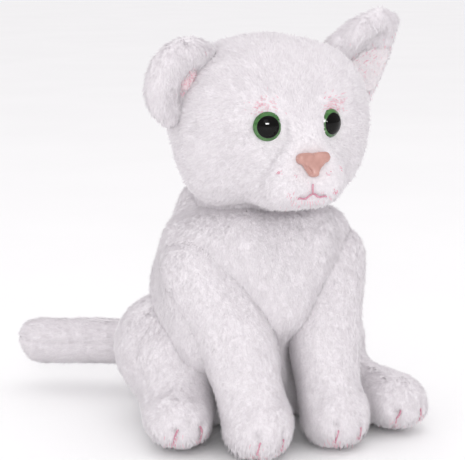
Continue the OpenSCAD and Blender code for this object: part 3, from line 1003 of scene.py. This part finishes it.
def build():
    """All the soft pieces and the threads; the threads and the head, neck and torso pieces are fixed
    to their bodies, the legs, tail and ears only have their transforms baked.
    """
    torso, neck, head = torso_form(), neck_form(), head_form()
    forelegs = {s: foreleg_form(s, k) for s, k in SIDES}
    hindlegs = {s: hindleg_form(s, k) for s, k in SIDES}
    tail = tail_form()
    ears = {s: ear_form(s) for s, _ in SIDES}
    linings = {s: ear_lining(s, ears[s]) for s, _ in SIDES}
    head_bvh, torso_bvh = skin_tree(head), skin_tree(torso)
    leg_bvh = {s: skin_tree(forelegs[s]) for s, _ in SIDES}
    hind_bvh = {s: skin_tree(hindlegs[s]) for s, _ in SIDES}

    # threads, while the skins are still free
    lo_m, hi_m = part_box("mouth_stitch")
    bend = lo_m.z + (hi_m.z - lo_m.z) * 0.47
    top, fork = Vector((0, lo_m.y, hi_m.z)), Vector((0, lo_m.y, bend))
    bm = bmesh.new()
    for pts in ([top, fork], [fork, Vector((lo_m.x * 0.85, lo_m.y, lo_m.z))],
                [fork, Vector((hi_m.x * 0.85, lo_m.y, lo_m.z))]):
        steps = [pts[0].lerp(pts[1], t / 5) for t in range(6)]
        twisted(bm, laid(head_bvh, steps, 0.7 * MM), 0.4 * MM)
    mesh_piece("mouth_thread", bm, THREAD, "head", "mouth_stitch")
    for s, _ in SIDES:
        for node, tree, body in (("toe_stitches_", leg_bvh[s], "foreleg_"),
                                 ("foot_stitches_", hind_bvh[s], "hindleg_")):
            bm = bmesh.new()
            for low, high in strokes(node + s):
                steps = [low.lerp(high, t / 4) for t in range(5)]
                twisted(bm, laid(tree, steps, 0.5 * MM), 0.45 * MM)
            mesh_piece(node + "thread_" + s, bm, THREAD, body + s, node + s)
    lo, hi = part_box("closing_seam")
    bm = bmesh.new()
    rows = np.linspace(lo.z, hi.z, 15)
    for i, (z0, z1) in enumerate(zip(rows, rows[1:])):
        k = 1 if i % 2 else -1
        pair = [Vector((k * 1.1 * MM, hi.y + 0.01, z0)), Vector((-k * 1.1 * MM, hi.y + 0.01, z1))]
        pair = [Vector((p.x, torso_bvh.ray_cast(p, Vector((0, -1, 0)))[0].y, p.z)) for p in pair]
        twisted(bm, [pair[0], pair[0].lerp(pair[1], 0.5) + mm(0, 0.5, 0), pair[1]], 0.5 * MM)
    mesh_piece("closing_thread", bm, SEAM_THREAD, "torso", "closing_seam")

    away = lambda p: unit(p - np.array(NOSE)) + np.array([0, 0.35, -0.65])
    lips = [top, fork], [Vector((lo_m.x, lo_m.y, lo_m.z)), fork, Vector((hi_m.x, lo_m.y, lo_m.z))]

    def near_face(p):
        """Short pile round the eyes and the nose, and shorter still along the mouth."""
        bare = ((EYE["right"], 15 * MM), (EYE["left"], 15 * MM), (NOSE, 22 * MM))
        far = np.minimum.reduce([np.linalg.norm(p - np.array(c), axis=1) / r for c, r in bare])
        line = np.minimum(to_path(p, lips[0]), to_path(p, lips[1]))
        return np.clip(0.35 + 0.65 * far, 0.3, 1) * np.clip(0.25 + line / (3.5 * MM), 0.25, 1)

    shaggy_paw = lambda p: 0.9 + 0.35 * np.clip((14 * MM - p[:, 2]) / (10 * MM), 0, 1)
    dress("head", head, BACKING, lambda o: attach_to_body(o, "head"),
          ["head_side_right", "head_side_left", "head_gusset", "muzzle_panel", "chin_panel",
           "head_stuffing"], away, head_tint(head_bvh), [torso_bvh], shorten=near_face, seed=21)
    dress("neck", neck, BACKING, lambda o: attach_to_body(o, "neck"), ["neck_skin", "neck_stuffing"],
          flow((0, 0, -1)), plain_tint, [torso_bvh, head_bvh], seed=22)
    dress("torso", torso, BACKING, lambda o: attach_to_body(o, "torso"),
          ["back_panel_right", "back_panel_left", "chest_panel", "seat_panel", "torso_stuffing"],
          flow((0, 0.25, -1)), plain_tint, [head_bvh] + list(leg_bvh.values())
          + list(hind_bvh.values()), seed=23)
    for s, k in SIDES:
        shoulder, paw = SHOULDER[s], PAW[s]
        down = unit(np.array([paw - shoulder]))[0]
        dress("foreleg_" + s, forelegs[s], BACKING,
              lambda o, s=s, a=shoulder, d=down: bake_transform(
                  o, "torso", "foreleg_" + s, start=tuple(a), end=tuple(a + Vector(d) * 0.024)),
              ["foreleg_outer_" + s, "foreleg_inner_" + s, "foreleg_stuffing_" + s],
              flow((0, 0.1, -1)), paw_tint([b for b, _ in strokes("toe_stitches_" + s)]),
              [torso_bvh], shorten=shaggy_paw, seed=24 + k)
        haunch, foot = HAUNCH[s], FOOT[s]
        ahead = Vector((foot.x - haunch.x, foot.y - haunch.y, 0)).normalized()
        dress("hindleg_" + s, hindlegs[s], BACKING,
              lambda o, s=s, a=haunch, d=ahead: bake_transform(
                  o, "torso", "hindleg_" + s, start=tuple(a), end=tuple(a + d * 0.022)),
              ["thigh_outer_" + s, "thigh_inner_" + s, "hind_stuffing_" + s],
              flow((0, 0.15, -1)),
              paw_tint([b for b, _ in strokes("foot_stitches_" + s)]), [torso_bvh],
              shorten=shaggy_paw, seed=27 + k)
    along = (TAIL_END - TAIL).normalized()
    dress("tail", tail, BACKING,
          lambda o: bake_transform(o, "torso", "tail", start=tuple(TAIL),
                             end=tuple(TAIL + along * 0.025)),
          ["tail_top", "tail_under", "tail_stuffing"], flow(along), plain_tint,
          [torso_bvh] + list(hind_bvh.values()), seed=31)
    for s, _ in SIDES:
        out = Vector(EAR_FRAME[s][:, 2])
        join = lambda o, s=s, d=out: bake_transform(
            o, "head", "ear_" + s, start=tuple(EAR[s]), end=tuple(EAR[s] + d * 0.008))
        dress("ear_" + s, ears[s], BACKING, join, ["ear_back_" + s], flow((0, 0.3, -1)),
              ear_tint(s), [head_bvh], length=2.8 * MM, seed=33)
        dress("ear_inside_" + s, linings[s], LINING[s], join, ["ear_lining_" + s], flow(out),
              lining_tint(s), [head_bvh], slot="ear_lining", fill=None,
              length=1.9 * MM, density=2.0, seed=35)


THREAD = material("pink_thread", (0.62, 0.27, 0.36), 0.55, sheen=0.2)
add_noise(THREAD, 700, (0.56, 0.22, 0.31), (0.70, 0.36, 0.44))
SEAM_THREAD = material("seam_thread", (0.78, 0.76, 0.77), 0.6, sheen=0.2)
add_noise(SEAM_THREAD, 700, (0.70, 0.68, 0.69), (0.82, 0.80, 0.81))


def eyes_and_nose():
    """Safety eyes, a black dome in a green ring, and the moulded nose."""
    iris = material("iris_green", (0.05, 0.16, 0.04), 0.22, coat=0.3)
    add_noise(iris, 420, (0.035, 0.125, 0.03), (0.08, 0.22, 0.06))
    pupil = material("pupil_black", (0.005, 0.005, 0.004), 0.05, coat=0.2)
    pupil.node_tree.nodes["Principled BSDF"].inputs["Specular IOR Level"].default_value = 0.08
    add_noise(pupil, 60, (0.004, 0.004, 0.004), (0.009, 0.008, 0.007))
    for side, _ in SIDES:
        axis = eye_axis(side)
        lo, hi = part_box("eye_" + side)
        disc = (hi.z - lo.z) / 2
        lo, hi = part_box("pupil_" + side)
        dark = (hi.z - lo.z) / 2
        crown = middle("pupil_" + side) + axis * 0.6 * MM
        base = crown - axis * 3.1 * MM
        dome_r = disc * 1.25

        def cap(r):
            return math.sqrt(dome_r ** 2 - r ** 2) - math.sqrt(dome_r ** 2 - disc ** 2)

        ring = [(disc - 0.6 * MM, -2.4 * MM), (disc, -1.2 * MM), (disc, -0.1 * MM)]
        ring += [(r, cap(r)) for r in np.linspace(disc - 0.15 * MM, dark * 0.9, 8)]
        ring += [(0, cap(dark * 0.9))]
        lathe("eye_iris_" + side, ring, base, axis, iris, "eye_" + side)
        dome = [(dark, cap(dark) - 0.2 * MM)]
        dome += [(r, cap(r) + 0.14 * MM) for r in np.linspace(dark - 0.06 * MM, 0, 14)]
        lathe("eye_pupil_" + side, dome, base, axis, pupil, "pupil_" + side)
    nose = material("nose_plastic", (0.54, 0.29, 0.25), 0.45, coat=0.15)
    add_noise(nose, 260, (0.50, 0.265, 0.225), (0.58, 0.32, 0.275))
    add_bump(nose, 1500, 0.25, 0.0002)
    o = form("nose_moulded", ["nose"], voxel=0.4 * MM, smooth=5)
    refine(o)
    for k in (-1, 1):
        crease(o, [NOSE + mm(k * 6.0, 1, -6), NOSE + mm(k * 3.6, 0.5, -2.5)], 1.7 * MM, 2.1 * MM)
    crease(o, [NOSE + mm(0, 0, 4.2), NOSE + mm(0, 4, 5.6)], 1.1 * MM, 0.8 * MM)
    o.data.polygons.foreach_set("use_smooth", [True] * len(o.data.polygons))
    o.data.materials.clear()
    o.data.materials.append(nose)
    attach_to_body(o, "head")
    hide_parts("nose")


def inner_parts():
    """The washers and the bean pouch stay as the frame has them, in their own stuff."""
    clear = material("washer_plastic", (0.82, 0.84, 0.85), 0.35)
    add_noise(clear, 300, (0.76, 0.78, 0.80), (0.86, 0.87, 0.88))
    calico = material("pouch_calico", (0.74, 0.70, 0.60), 0.9)
    add_noise(calico, 900, (0.66, 0.62, 0.52), (0.78, 0.75, 0.66))
    add_bump(calico, 1400, 0.4)
    for node, mat in (("eye_washer_right", clear), ("eye_washer_left", clear),
                      ("nose_washer", clear), ("bean_pouch", calico)):
        for slot in frame["nodes"][node].material_slots:
            slot.material = mat


build()
eyes_and_nose()
inner_parts()
